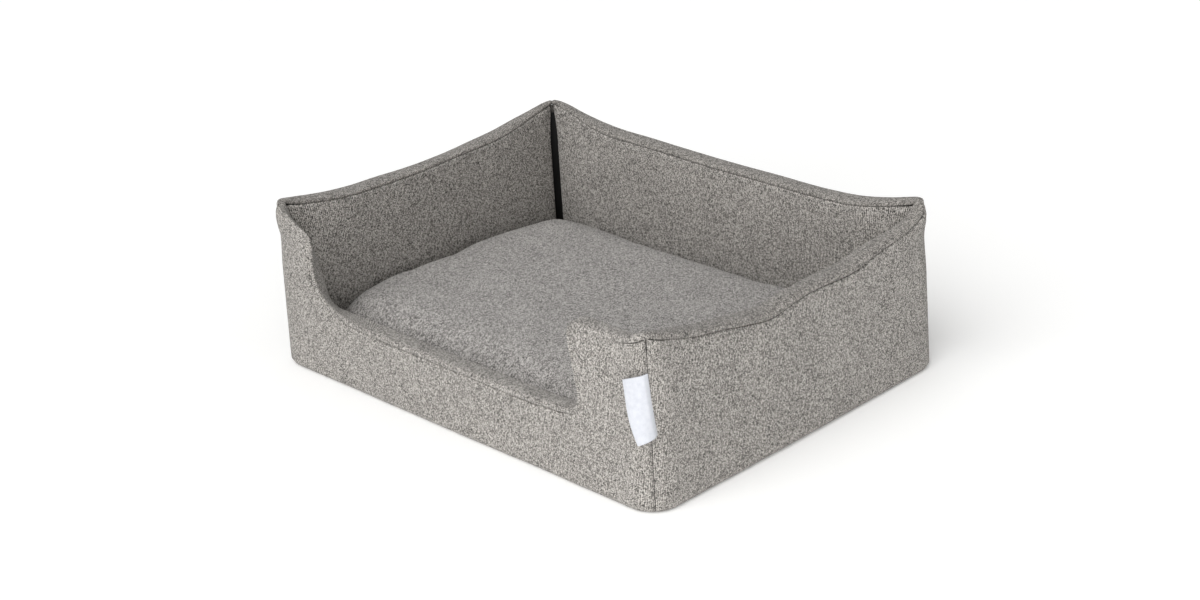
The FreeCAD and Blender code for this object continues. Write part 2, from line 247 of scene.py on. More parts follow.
def cutRegion(outline, inner, holes=()):
    # triangles that fill a flat outline, through the inner points, round the holes
    loops = [outline, *holes]
    rim = np.vstack(loops)
    edges = []
    first = 0
    for loop in loops:
        count = len(loop)
        edges += [(first + i, first + (i + 1) % count) for i in range(count)]
        first += count
    places = [Vector(p) for p in np.vstack((rim, inner))]
    made = delaunay_2d_cdt(places, edges, [], 1, 1e-7)
    flat = np.array([tuple(v) for v in made[0]])
    faces = []
    for face in made[2]:
        middle = flat[list(face)].mean(axis=0)
        if not any(insideLoop(hole, middle) for hole in holes):
            faces.append(tuple(face))
    return flat, faces


def insideLoop(loop, point):
    low, high = loop.min(axis=0), loop.max(axis=0)
    return bool((point > low).all() and (point < high).all())


def findMaterial(name):
    return bpy.data.materials[name + "_finish"]


def plainMesh(name, points, faces, edges=()):
    mesh = bpy.data.meshes.new(name)
    mesh.from_pydata([tuple(p) for p in points], list(edges), faces)
    return mesh


def newObject(name, data):
    made = bpy.data.objects.new(name, data)
    bpy.context.scene.collection.objects.link(made)
    return made


def cornerPoints(mesh):
    # which point each corner of each face stands on
    corners = np.empty(len(mesh.loops), int)
    mesh.loops.foreach_get("vertex_index", corners)
    return corners


def dress(mesh, finish):
    # smooth faces in one finish
    mesh.polygons.foreach_set("use_smooth", np.ones(len(mesh.polygons), bool))
    mesh.materials.append(findMaterial(finish))


def makePiece(name, points, faces, look, body="frame", nodes=(), uv=None, finish=None):
    mesh = plainMesh(name, points, faces)
    if uv is not None:
        layer = mesh.uv_layers.new(name="weave")
        layer.data.foreach_set("uv", np.asarray(uv, float)[cornerPoints(mesh)].ravel())
    dress(mesh, finish or look)
    mesh.update()
    piece = newObject(name, mesh)
    finishPiece(piece, body, nodes)
    return piece


def finishPiece(piece, body, nodes=()):
    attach(piece, body)
    if nodes:
        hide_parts(*nodes)


def addModifier(piece, kind, **settings):
    modifier = piece.modifiers.new(kind.title(), kind)
    for name, value in settings.items():
        setattr(modifier, name, value)
    return modifier


def thicken(piece, thickness):
    # cloth thickness, laid on the inside of the face
    addModifier(piece, "SOLIDIFY", thickness=thickness, offset=-1)


def gridFaces(rows, count, flipped=False):
    # faces of a sheet of points laid out in rows
    faces = []
    for row in range(rows - 1):
        for i in range(count - 1):
            first = row * count + i
            faces.append((first, first + 1, first + count + 1, first + count))
    return [face[:1] + face[:0:-1] for face in faces] if flipped else faces


class Wire:
    # one socket of a node tree, so that shader maths reads as plain sums
    def __init__(self, tree, socket=None):
        self.tree = tree
        self.socket = socket

    def node(self, kind, settings=None, sockets=None, output=0):
        made = self.tree.nodes.new(kind)
        for name, value in (settings or {}).items():
            if name == "stops":
                stops = made.color_ramp.elements
                while len(stops) < len(value):
                    stops.new(0.5)
                for stop, (place, colour) in zip(stops, value):
                    stop.position = place
                    stop.color = colour
            else:
                setattr(made, name, value)
        for name, value in (sockets or {}).items():
            if isinstance(value, Wire):
                self.tree.links.new(value.socket, made.inputs[name])
            else:
                made.inputs[name].default_value = value
        return Wire(self.tree, made.outputs[output])

    def outlet(self, name):
        # another output of the same node
        return Wire(self.tree, self.socket.node.outputs[name])

    def maths(self, operation, *values):
        return self.node("ShaderNodeMath", {"operation": operation}, dict(enumerate(values)))

    def __add__(self, other):
        return self.maths("ADD", self, other)

    __radd__ = __add__

    def __sub__(self, other):
        return self.maths("SUBTRACT", self, other)

    def __rsub__(self, other):
        return self.maths("SUBTRACT", other, self)

    def __mul__(self, other):
        return self.maths("MULTIPLY", self, other)

    __rmul__ = __mul__

    def __truediv__(self, other):
        return self.maths("DIVIDE", self, other)

    def __rtruediv__(self, other):
        return self.maths("DIVIDE", other, self)

    def __mod__(self, other):
        return self.maths("FLOORED_MODULO", self, other)

    def floor(self):
        return self.maths("FLOOR", self)

    def absolute(self):
        return self.maths("ABSOLUTE", self)

    def above(self, level):
        return self.maths("GREATER_THAN", self, level)

    def between(self, low, high):
        # 0 below low, 1 above high, smooth on the way
        return self.node(
            "ShaderNodeMapRange",
            {"interpolation_type": "SMOOTHSTEP"},
            {"Value": self, "From Min": low, "From Max": high},
        )

    def mixColour(self, first, second):
        # first where this is 0, second where it is 1
        return self.node("ShaderNodeMix", {"data_type": "RGBA"}, {0: self, 6: first, 7: second}, 2)


def colour(code):
    # linear colour from an sRGB code
    linear = []
    for i in (0, 2, 4):
        v = int(code[i : i + 2], 16) / 255
        linear.append(v / 12.92 if v <= 0.04045 else ((v + 0.055) / 1.055) ** 2.4)
    return (*linear, 1.0)


def newMaterial(name, **settings):
    material = bpy.data.materials.new(name + "_finish")
    material.use_nodes = True
    shader = material.node_tree.nodes["Principled BSDF"]
    for socket, value in settings.items():
        shader.inputs[socket].default_value = value
    return Wire(material.node_tree), shader


def feed(maker, shader, socket, wire):
    maker.tree.links.new(wire.socket, shader.inputs[socket])


def vectorOf(maker, x, y, z=0.0):
    return maker.node("ShaderNodeCombineXYZ", None, {0: x, 1: y, 2: z})


def grain(maker, vector, scale, detail=2.0, roughness=0.5):
    return maker.node(
        "ShaderNodeTexNoise",
        None,
        {"Vector": vector, "Scale": scale, "Detail": detail, "Roughness": roughness},
    )


def speck(maker, vector):
    # one random value for each whole place
    return maker.node("ShaderNodeTexWhiteNoise", {"noise_dimensions": "2D"}, {"Vector": vector})


def relief(maker, shader, height, depth, strength=1.0):
    bump = maker.node(
        "ShaderNodeBump", None, {"Height": height, "Distance": depth, "Strength": strength}
    )
    feed(maker, shader, "Normal", bump)


wallWeave = {
    "warp": 1.12 * mm,  # width of one thread
    "weft": 0.98 * mm,
    "slub": 2.5 * mm,  # length of a light or dark stretch of thread
    "rib": 0.2,  # how much every other thread stands out
    "dark": "3c3a37",
    "middle": "8a8681",
    "light": "d0cbc5",
    "cloud": 0.06,  # how much broad patches differ
    "relief": 0.35 * mm,
    "sheen": 0.12,
}
cushionWeave = dict(wallWeave, dark="494745", middle="918e8b", light="cfcbc7")
# darker copy of the wall cloth for the top strips of the side and back walls: painted shade, the same
# cloth in less light
shadedStripWeave = dict(wallWeave, dark="383633", middle="807c77", light="c0bbb5")


def weaveCloth(name, weave):
    # melange cloth: threads over and under, each in short stretches of lighter and darker yarn
    maker, shader = newMaterial(
        name, **{"Sheen Weight": weave["sheen"], "Sheen Roughness": 0.5, "Specular IOR Level": 0.25}
    )
    place = maker.node("ShaderNodeUVMap", {"uv_map": "weave"})
    u = maker.node("ShaderNodeSeparateXYZ", None, {0: place})
    v = u.outlet("Y")
    wander = grain(maker, place, 160.0, 1.0) * 0.5 - 0.25
    across = u / weave["warp"] + wander
    up = v / weave["weft"] + wander
    column = across.floor()
    row = up.floor()
    fx = across - column - 0.5
    fy = up - row - 0.5
    over = ((column + row) % 3).above(0.5)
    rib = (column % 2) - 0.5
    warpRise = 1 - fx * fx * 4
    weftRise = 1 - fy * fy * 4
    rise = warpRise * over + weftRise * (1 - over)

    # yarn tones: a long stretch down each warp thread, a shorter one on each crossing
    shift = speck(maker, vectorOf(maker, column, 3.0)) * 17
    stretch = (v / weave["slub"] + shift).floor()
    warpTone = speck(maker, vectorOf(maker, column, stretch))
    rowShift = speck(maker, vectorOf(maker, row, 9.0)) * 13
    run = (u / (weave["slub"] * 0.8) + rowShift).floor()
    weftTone = speck(maker, vectorOf(maker, run, row))
    crossing = speck(maker, vectorOf(maker, column, row))
    tone = warpTone * over + weftTone * (1 - over)
    tone = tone * 0.40 + crossing * 0.48 + grain(maker, place, 900.0, 2.0) * 0.12
    clouds = grain(maker, place, 22.0, 3.0) - 0.5
    flecks = grain(maker, place, 420.0, 1.0).between(0.58, 0.72)
    tone = tone + clouds * weave["cloud"] * 2 + rib * weave["rib"]
    # random flecks are darker; the tone is also darker where each thread dips under the next, painted
    # shade in the grooves between threads
    tone = tone - flecks * 0.2 - (1 - rise) * 0.10
    shade = tone.node(
        "ShaderNodeValToRGB",
        {
            "stops": [
                (0.16, colour(weave["dark"])),
                (0.44, colour(weave["middle"])),
                (0.78, colour(weave["light"])),
            ]
        },
        {"Fac": tone},
    )
    feed(maker, shader, "Base Color", shade)
    feed(maker, shader, "Roughness", 1 - rise * 0.12)
    fuzz = grain(maker, place, 1500.0, 2.0)
    relief(maker, shader, rise * 0.7 + tone * 0.3 + fuzz * 0.35, weave["relief"], 0.8)


weaveCloth("wall_cloth", wallWeave)
weaveCloth("cushion_cloth", cushionWeave)
weaveCloth("strip_cloth", shadedStripWeave)

plainFinishes = {
    # base, second tone, grain per metre, relief, roughness
    "lining_cloth": ("8b8883", "77746f", 900.0, 0.25 * mm, 0.95),
    "floor_cloth": ("3a3a3a", "2b2b2c", 1100.0, 0.2 * mm, 0.8),
    "bag_cloth": ("dcdad4", "c9c6bf", 1300.0, 0.15 * mm, 0.9),
    "foam": ("d9d3c0", "c2b99f", 1600.0, 0.4 * mm, 0.95),
    "filling": ("ecebe7", "d6d5d0", 300.0, 1.2 * mm, 1.0),
    "zip_tape": ("6f6d69", "5e5c58", 1800.0, 0.12 * mm, 0.85),
    "zip_teeth": ("5d5b58", "4c4a47", 400.0, 0.05 * mm, 0.4),
    # near-black: painted shade at the back of the slits
    "gusset_cloth": ("141414", "0e0e0e", 900.0, 0.2 * mm, 0.95),
    "seam_thread": ("6a6762", "55524e", 2500.0, 0.08 * mm, 0.8),
}


def plainFinish(name, finish):
    base, second, scale, depth, roughness = finish
    maker, shader = newMaterial(name)
    place = maker.node("ShaderNodeTexCoord").outlet("Object")
    fine = grain(maker, place, scale, 3.0)
    broad = grain(maker, place, 30.0, 2.0)
    mixed = (fine * 0.75 + broad * 0.25).between(0.3, 0.7)
    feed(maker, shader, "Base Color", mixed.mixColour(colour(base), colour(second)))
    feed(maker, shader, "Roughness", fine * 0.15 + (roughness - 0.08))
    relief(maker, shader, fine, depth)


for finishName, finishValues in plainFinishes.items():
    plainFinish(finishName, finishValues)


def satinLabel():
    # white woven ribbon with fine cross threads
    maker, shader = newMaterial("label_cloth", **{"Sheen Weight": 0.2, "Specular IOR Level": 0.45})
    place = maker.node("ShaderNodeUVMap", {"uv_map": "weave"})
    threads = maker.node("ShaderNodeSeparateXYZ", None, {0: place}).outlet("Y") / (0.32 * mm)
    ridge = (threads - threads.floor() - 0.5).absolute() * 2
    patch = grain(maker, place, 180.0, 2.0)
    # tint partly from random patches, partly darker towards the edges of each cross thread, which is
    # painted shade in the grooves between threads
    tint = (ridge * 0.35 + patch * 0.65).between(0.2, 0.9)
    feed(maker, shader, "Base Color", tint.mixColour(colour("d2d4d9"), colour("bcbfc8")))
    feed(maker, shader, "Roughness", 0.42 + patch * 0.2)
    relief(maker, shader, ridge * 0.6 + patch, 0.08 * mm)


def zipMetal():
    maker, shader = newMaterial("zip_metal", Metallic=1.0)
    place = maker.node("ShaderNodeTexCoord").outlet("Object")
    scratches = grain(maker, place, 900.0, 4.0, 0.7)
    feed(maker, shader, "Base Color", scratches.mixColour(colour("8d8d90"), colour("a9a9ab")))
    feed(maker, shader, "Roughness", 0.28 + scratches * 0.2)
    relief(maker, shader, scratches, 0.03 * mm)


satinLabel()
zipMetal()
print("materials made:", len(bpy.data.materials))

coverLook = {
    "spacing": 6 * mm,  # of the cloth's mesh
    "outerSink": 5.5 * mm,  # how far a seam lies under the top's outline
    "innerSink": 2.5 * mm,
    "seamDepth": 3.2 * mm,  # how far it dips behind the face
    "seamReach": 4.6 * mm,
    "innerDepth": 1.7 * mm,  # the same for the inner seams
    "innerReach": 3.4 * mm,
    "flush": 0.8,  # how much of it is lost round the front right corner
    "flushFrom": {"front": 180 * mm, "right": 170 * mm},  # from the walls' middles
    "flushRun": 30 * mm,
    "cornerDepth": 1.5 * mm,  # of the upright corner seams
    "cornerReach": 2.3 * mm,
    "cornerMore": 1.6 * mm,  # how much deeper they get on the last stretch to the top
    "cornerFrom": 20 * mm,
    "cornerRun": 14 * mm,
    "swell": 1.3 * mm,  # broad unevenness of the padded faces
    "pucker": 0.45 * mm,  # short gathers along the seams
    "slotSide": 3 * mm,  # the zip's opening, past each end of its teeth
    "slotHalf": 4.9 * mm,
    "innerBulge": 1.6 * mm,
    "mostBulge": 2.6 * mm,
    "flatLow": 66 * mm,  # below it the back's inner face stays flat, behind the cushion's zip
    "flatRun": 20 * mm,
    "earFold": 2.4 * mm,  # soft fold across the end of an ear, and the dip under it
    "earDip": 2.2 * mm,
    "earReach": 30 * mm,
    "cloth": 1.2 * mm,
}
seamRows = (0.5 * mm, 1.1 * mm, 2.0 * mm, 3.2 * mm, 5.5 * mm)
endRows = [i * mm for i in (5, 10, 15, 19, 21, 22.3, 23.6, 24.9, 26.2)]
# across a top strip, in millimetres: in from its edge and up from its outline, edge to middle
outerProfile = [
    (3.2, -5.5), (1.4, -4.6), (0.3, -3.2), (0.0, -1.5), (0.6, 0.1), (2.0, 1.4), (4.4, 2.3), (8.0, 2.8),
]
innerProfile = [(1.7, -2.5), (0.8, -1.8), (0.4, -0.5), (0.9, 0.7), (2.2, 1.6), (4.5, 2.3), (8.0, 2.8)]
stripCrown = 3.0 * mm

tops = {wall: smoothPath(keys, 4.0) * mm for wall, keys in wallTops.items()}


def seamUnder(flat, side):
    seam = flat - pathNormals(flat) * coverLook[side + "Sink"]
    seam[[0, -1], 0] = flat[[0, -1], 0]
    return seam


def finePath(path):
    between = np.arange(0, len(path) - 1, 0.34)
    index = np.arange(len(path))
    return columns(*(np.interp(between, index, path[:, i]) for i in (0, 1)))


def nearPath(points, path):
    # depth of each point below the path, and where along the path it is
    gaps = points[:, None, :] - path[None, :, :]
    squared = (gaps**2).sum(axis=2)
    near = squared.argmin(axis=1)
    normals = pathNormals(path)[near]
    under = (gaps[np.arange(len(points)), near] * normals).sum(axis=1) <= 0
    distance = np.sqrt(squared.min(axis=1))
    return np.where(under, distance, -distance), runsAlong(path)[near]


def holeRows(hole, rows):
    # rings of points round a slot
    low, high = hole.min(axis=0), hole.max(axis=0)
    return np.vstack([boxLoop(low - row, high + row, 5 * mm) for row in rows])


def boxLoop(low, high, spacing):
    x = linePoints(low[0], high[0], spacing)[:-1]
    y = linePoints(low[1], high[1], spacing)[:-1]
    return np.vstack(
        (
            columns(x, low[1]),
            columns(high[0], y),
            columns(x[::-1] + (high[0] - x[-1]), high[1]),
            columns(low[0], y[::-1] + (high[1] - y[-1])),
        )
    )


def outlineBelow(top, half, low, spacing):
    # closed outline of a panel: its top, then down, along the foot and up again
    return np.vstack(
        (
            top[::-1],
            columns(-half, linePoints(top[0, 1], low, spacing)[1:]),
            columns(linePoints(-half, half, spacing)[1:-1], low),
            columns(half, linePoints(low, top[-1, 1], spacing)[:-1]),
        )
    )


def clothRegion(seam, half, low, sideRows, holes=()):
    # points and triangles of the cloth below a seam, finer where it dips
    spacing = coverLook["spacing"]
    rows = seamRows
    outline = outlineBelow(seam, half, low, spacing)
    path = finePath(seam)
    inner = []
    for row in rows:
        line = seam - pathNormals(seam) * row
        depth = nearPath(line, path)[0]
        inner.append(line[(depth > row * 0.9) & (np.abs(line[:, 0]) < half - 0.5 * mm)])
    for row in sideRows:
        for side in (-1, 1):
            z = linePoints(low, max(seam[0, 1], seam[-1, 1]), spacing)[1:-1]
            line = columns(side * (half - row), z)
            inner.append(line[nearPath(line, path)[0] > rows[-1] + 1 * mm])
    grid = []
    for i, z in enumerate(np.arange(low + spacing * 0.7, seam[:, 1].max(), spacing * 0.87)):
        s = np.arange(-half + spacing * (0.5 + 0.5 * (i % 2)), half, spacing)
        grid.append(columns(s, z))
    grid = np.vstack(grid)
    keep = nearPath(grid, path)[0] > rows[-1] + spacing * 0.5
    keep &= np.abs(grid[:, 0]) < half - sideRows[-1] - spacing * 0.4
    inner.append(grid[keep])
    inner = np.vstack(inner)
    for hole in holes:
        close = (inner > hole.min(axis=0) - 6 * mm).all(axis=1)
        close &= (inner < hole.max(axis=0) + 6 * mm).all(axis=1)
        inner = np.vstack((inner[~close], holeRows(hole, (0.5 * mm, 1.1 * mm, 2.2 * mm, 4.0 * mm))))
    flat, faces = cutRegion(outline, inner, holes)
    depth, place = nearPath(flat, path)
    return flat, faces, np.clip(depth, 0, None), place


def faced(points, faces, direction):
    # turns the faces so that, on the whole, they look the way that direction gives
    corners = np.array([face[:3] for face in faces])
    a, b, c = (points[corners[:, i]] for i in range(3))
    normals = np.cross(b - a, c - a)
    if (normals * direction(a)).sum() < 0:
        return [tuple(reversed(face)) for face in faces]
    return faces


def outwards(points):
    return points * (1, 1, 0)


def inwards(points):
    return points * (-1, -1, 0)


def upwards(points):
    return np.zeros_like(points) + (0, 0, 1)


def backwards(points):
    return np.zeros_like(points) + (0, 1, 0)


def flatArea(flat, faces):
    corners = np.array([face[:3] for face in faces])
    a, b, c = (flat[corners[:, i]] for i in range(3))
    return float(np.abs((b - a)[:, 0] * (c - a)[:, 1] - (b - a)[:, 1] * (c - a)[:, 0]).sum() / 2)


def declareStretched(flat, faces, board):
    size = flat.max(axis=0) - flat.min(axis=0)
    flatArea(flat, faces)


def zipSlot():
    # opening in the back cover where the zip shows
    low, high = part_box("frame_zip_teeth_lower")
    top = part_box("frame_zip_teeth_upper")[1].z
    middle = (low.z + top) / 2
    half = Vector((high.x + coverLook["slotSide"], coverLook["slotHalf"]))
    start = np.array((-half.x, middle - half.y))
    return boxLoop(start, np.array((half.x, middle + half.y)), 5 * mm)


def seamShare(wall, s):
    # how strongly the outer seam shows: hardly at all round the front right corner
    start = coverLook["flushFrom"].get(wall)
    if start is None:
        return 1
    towards = s if wall == "front" else -s
    return 1 - coverLook["flush"] * smoothStep((towards - start) / coverLook["flushRun"])


def outerCloth(wall, seed):
    seam = seamUnder(tops[wall][:, :2], "outer")
    half = walls[wall][1]
    footRoll = bed["footRoll"]
    low = footRoll * (1 - math.pi / 2) - (bed["panelGap"] - footRoll)
    holes = [zipSlot()] if wall == "back" else []
    flat, faces, depth, place = clothRegion(seam, half, low, (0.5 * mm, 1.2 * mm, 2.4 * mm), holes)
    s, w = flat.T
    side = half - np.abs(s)
    look = coverLook
    inward = roll(depth, look["seamReach"], look["seamDepth"]) * seamShare(wall, s)
    near = smoothStep((look["cornerFrom"] - depth) / look["cornerRun"])
    corner = look["cornerDepth"] + look["cornerMore"] * near
    inward = np.maximum(inward, roll(side, look["cornerReach"], corner))
    calm = 1.0
    for hole in holes:
        gap = np.maximum(hole.min(axis=0) - flat, flat - hole.max(axis=0)).max(axis=1)
        inward = np.maximum(inward, roll(np.clip(gap, 0, None), 1.2 * mm, 1.1 * mm))
        calm = np.clip((gap - 4 * mm) / (30 * mm), 0, 1)
    stretch = columns(s, w, 0)
    along = columns(place, depth * 0.35, 0)
    swell = waves(stretch, 0.115, seed) * look["swell"]
    swell = swell + waves(stretch, 0.042, seed + 5) * look["swell"] * 0.3
    edge = np.clip(np.minimum(depth, side) / (25 * mm), 0, 1)
    pucker = waves(along, 0.0085, seed + 11) * look["pucker"] * np.exp(-depth / (9 * mm))
    upright = columns(w, side * 0.3, np.sign(s) * 0.1)
    gathers = waves(upright, 0.011, seed + 13) * look["pucker"] * 0.8
    pucker = pucker + gathers * np.exp(-side / (8 * mm))
    fold = look["earFold"] * np.exp(-(((w - 0.190) / 0.016) ** 2))
    dip = look["earDip"] * np.exp(-(((w - 0.160) / 0.014) ** 2))
    ear = np.exp(-((side / look["earReach"]) ** 2)) * (fold - dip)
    inward = inward - (swell * edge * calm + pucker + ear * np.clip(side / (3 * mm), 0.4, 1))
    under = np.clip((footRoll - w) / footRoll, 0, math.pi / 2)
    level = np.clip(footRoll * (1 - math.pi / 2) - w, 0, None)
    z = np.where(w < footRoll, footRoll * (1 - np.sin(under)), w)
    inward = np.where(under > 0.6, np.maximum(inward, 0), inward)
    inward = inward + footRoll * (1 - np.cos(under)) + level
    points = outerPoints(wall, s, z, inward)
    faces = faced(points, faces, outwards)
    piece = makePiece(
        wall + "_outer_cloth", points, faces, "wall_cloth",
        nodes=["outer_panel_" + wall], uv=flat + seed * 0.37,
    )
    thicken(piece, coverLook["cloth"])
    declareStretched(flat, faces, wall + "_foam")


def innerCloth(wall, seed):
    halfRun = walls[wall][1]
    corner = halfRun - wallThickness - bed["slit"] / 2
    flatEnd = corner - bed["slitRoll"]
    half = flatEnd + bed["slitRoll"] * math.pi / 2 + bed["slitDepth"]
    seam = seamUnder(tops[wall][:, 2:], "inner")
    seam = seam[np.abs(seam[:, 0]) < flatEnd]
    left = columns(linePoints(-half, seam[0, 0], 4 * mm)[:-1], seam[0, 1])
    right = columns(linePoints(seam[-1, 0], half, 4 * mm)[1:], seam[-1, 1])
    seam = np.vstack((left, seam, right))
    low = liningHigh.z + 0.4 * mm
    flat, faces, depth, place = clothRegion(seam, half, low, endRows)
    s, w = flat.T
    side = flatEnd - np.abs(s)
    inward = roll(depth, coverLook["innerReach"], coverLook["innerDepth"])
    stretch = columns(s, w, 0.5)
    along = columns(place, depth * 0.35, 0)
    edge = np.clip(np.minimum(depth, side) / (30 * mm), 0, 1)
    bulge = coverLook["innerBulge"] * np.sqrt(edge) * np.clip((w - low) / (30 * mm), 0, 1)
    bulge = bulge + edge * 0.8 * mm * waves(stretch, 0.1, seed + 21)
    if wall == "back":
        # leaves room for the pull of the cushion's zip to swing
        bulge = bulge * smoothStep((w - coverLook["flatLow"]) / coverLook["flatRun"])
    pucker = waves(along, 0.009, seed + 31) * coverLook["pucker"] * np.exp(-depth / (9 * mm))
    inward = inward - np.minimum(bulge + pucker, coverLook["mostBulge"])
    points = innerPoints(wall, s, w, inward)
    faces = faced(points, faces, inwards)
    piece = makePiece(
        wall + "_inner_cloth", points, faces, "wall_cloth",
        nodes=["inner_panel_" + wall], uv=flat + seed * 0.53,
    )
    thicken(piece, coverLook["cloth"])
    declareStretched(flat, faces, wall + "_foam")


def stripCloth(wall, seed):
    path = tops[wall]
    outer, inner = path[:, :2], path[:, 2:]
    outerUp, innerUp = pathNormals(outer), pathNormals(inner)
    runs = runsAlong(outer)
    toEnd = np.minimum(runs, runs[-1] - runs)
    outerUp[toEnd < 1 * mm, 0] = 0
    innerUp[toEnd < 1 * mm, 0] = 0
    zero = np.zeros(len(path))
    width = np.linalg.norm(
        outerPoints(wall, *outer.T, zero) - planeInside(wall, *inner.T), axis=1
    )
    room = np.maximum(width, 19 * mm)
    shares = seamShare(wall, outer[:, 0])
    rows = [
        (i * mm / room * (shares if up < -1 else 1), up * mm) for i, up in outerProfile
    ] + [(zero + 0.5, stripCrown)]
    rows += [(1 - i * mm / room, up * mm) for i, up in reversed(innerProfile)]
    points = []
    uv = []
    across = zero
    for number, (share, up) in enumerate(rows):
        place = columns(runs, number * 0.012, 0)
        gather = waves(place * (1, 0.25, 1), 0.009, seed + 41) * coverLook["pucker"]
        broad = waves(place * (1, 0.3, 1), 0.05, seed + 47) * 0.5 * mm
        centre = (len(rows) - 1) / 2
        middle = 1 - abs(number - centre) / centre
        rise = np.where(up > 0, up * np.minimum(1, width / (20 * mm)), up)
        rise = rise + gather * (0.5 - 0.2 * middle) + broad * middle
        rise = rise - roll(toEnd, 3 * mm, 1.6 * mm)
        if number in (0, len(rows) - 1):
            rise = zero + up
        near = outer + outerUp * rise[:, None]
        far = inner + innerUp * rise[:, None]
        start = outerPoints(wall, *near.T, zero)
        end = planeInside(wall, *far.T)
        points.append(start + (end - start) * share[:, None])
        across = across + (np.linalg.norm(points[-1] - points[-2], axis=1) if number else 0)
        uv.append(columns(runs, across))
    points = np.vstack(points)
    uv = np.vstack(uv)
    faces = faced(points, gridFaces(len(rows), len(path)), upwards)
    # the front strip keeps the wall cloth; the other strips take its darker copy, which is painted shade
    piece = makePiece(
        wall + "_top_strip", points, faces, "wall_cloth",
        nodes=["top_strip_" + wall], uv=uv + seed * 0.71,
        finish="wall_cloth" if wall == "front" else "strip_cloth",
    )
    thicken(piece, coverLook["cloth"])
    wall + "_foam"


foamLook = {
    "under": {"front": 18 * mm},  # how far a board stays under the outline of its wall
    "underOthers": 7 * mm,
    "end": 24 * mm,  # short of the wall's end
    "low": 5 * mm,
    "spacing": 20 * mm,
    "outerGap": 4 * mm,
}


def foamBoard(wall):
    # closed board inside the cloth, cut along the middle of the two seams
    path = (tops[wall][:, :2] + tops[wall][:, 2:]) / 2
    under = foamLook["under"].get(wall, foamLook["underOthers"])
    path = path - pathNormals(path) * under
    half = walls[wall][1] - foamLook["end"]
    path = path[np.abs(path[:, 0]) < half][::2]
    path = np.vstack(([[-half, path[0, 1]]], path, [[half, path[-1, 1]]]))
    spacing = foamLook["spacing"]
    outline = outlineBelow(path, half, foamLook["low"], spacing)
    heights = np.arange(spacing, 200 * mm, spacing)
    grid = np.array([(s, z) for s in np.arange(-half + 10 * mm, half, spacing) for z in heights])
    depth = nearPath(grid, finePath(path))[0]
    flat, faces = cutRegion(outline, grid[depth > 8 * mm])
    s, z = flat.T
    near = outerPoints(wall, s * (half + 12 * mm) / half, z, foamLook["outerGap"])
    start = walls[wall][1] - bed["cornerRun"]
    squeeze = (half - 18 * mm - start) / (half - start)
    over = np.clip(np.abs(s) - start, 0, None)
    far = planeInside(wall, np.sign(s) * (np.minimum(np.abs(s), start) + over * squeeze), z)
    far = far + (near - far) * (4 * mm / np.linalg.norm(near - far, axis=1))[:, None]
    points, shell = closeShell(near, far, faces)
    piece = makePiece(wall + "_foam", points, shell, "foam", nodes=["foam_board_" + wall])
    piece.data.shade_flat()


def closeShell(near, far, faces):
    # joins two copies of a triangulated patch round their borders
    count = len(near)
    uses = {}
    for face in faces:
        uses.update(dict.fromkeys(zip(face, face[1:] + face[:1])))
    border = [(a, b) for a, b in uses if (b, a) not in uses]
    shell = [tuple(face) for face in faces]
    shell += [tuple(count + i for i in reversed(face)) for face in faces]
    shell += [(b, a, count + a, count + b) for a, b in border]
    points = np.vstack((near, far))
    return points, recalculated(points, shell)


def recalculated(points, faces):
    # faces of a closed shape, all turned outwards
    mesh = plainMesh("turned", points, faces)
    shape = bmesh.new()
    shape.from_mesh(mesh)
    bmesh.ops.recalc_face_normals(shape, faces=shape.faces)
    result = [tuple(v.index for v in face.verts) for face in shape.faces]
    shape.free()
    bpy.data.meshes.remove(mesh)
    return result


gussetLook = {
    "deep": 10 * mm,
    "side": 16 * mm,
    "sag": 4 * mm,
    "low": 16 * mm,
    "top": 196 * mm,
    "slim": 0.75,  # how much it narrows on its way up
    "slimLow": 100 * mm,
    "slimRun": 85 * mm,
    "cloth": 0.8 * mm,
}


def slitGusset(name, signX, signY):
    # cloth that joins two walls at the back of a slit, drawn out with the ear at its top; its near-black
    # colour is painted shade for the deep slit
    look = gussetLook
    out = np.array((signX, signY)) / math.sqrt(2)
    along = np.array((-out[1], out[0]))
    corner = np.array((signX * (halfLength - wallThickness), signY * (halfDepth - wallThickness)))
    shares = np.linspace(-1, 1, 9)
    heights = linePoints(look["low"], look["top"], 8 * mm)
    points = []
    uv = []
    for z in heights:
        slim = 1 - look["slim"] * float(smoothStep((z - look["slimLow"]) / look["slimRun"]))
        drawn = float(earPinch("front", walls["front"][1], z)) * math.sqrt(2) * 0.9
        for share in shares:
            deep = (look["deep"] + look["sag"] * (1 - share**2)) * slim + drawn
            x, y = corner + out * deep + along * look["side"] * share * slim
            points.append((x, y, z))
            uv.append((share * look["side"], z))
    points = np.array(points)
    faces = faced(points, gridFaces(len(heights), len(shares)), inwards)
    piece = makePiece(name, points, faces, "lining_cloth", uv=uv, finish="gusset_cloth")
    thicken(piece, look["cloth"])


for endName, endSign in (("front", -1), ("back", 1)):
    for sideName, sideSign in (("left", -1), ("right", 1)):
        slitGusset(endName + "_" + sideName + "_gusset", sideSign, endSign)

for wallNumber, wallName in enumerate(walls):
    foamBoard(wallName)
    outerCloth(wallName, wallNumber + 1)
    innerCloth(wallName, wallNumber + 1)
    stripCloth(wallName, wallNumber + 1)
    print("wall covered:", wallName)


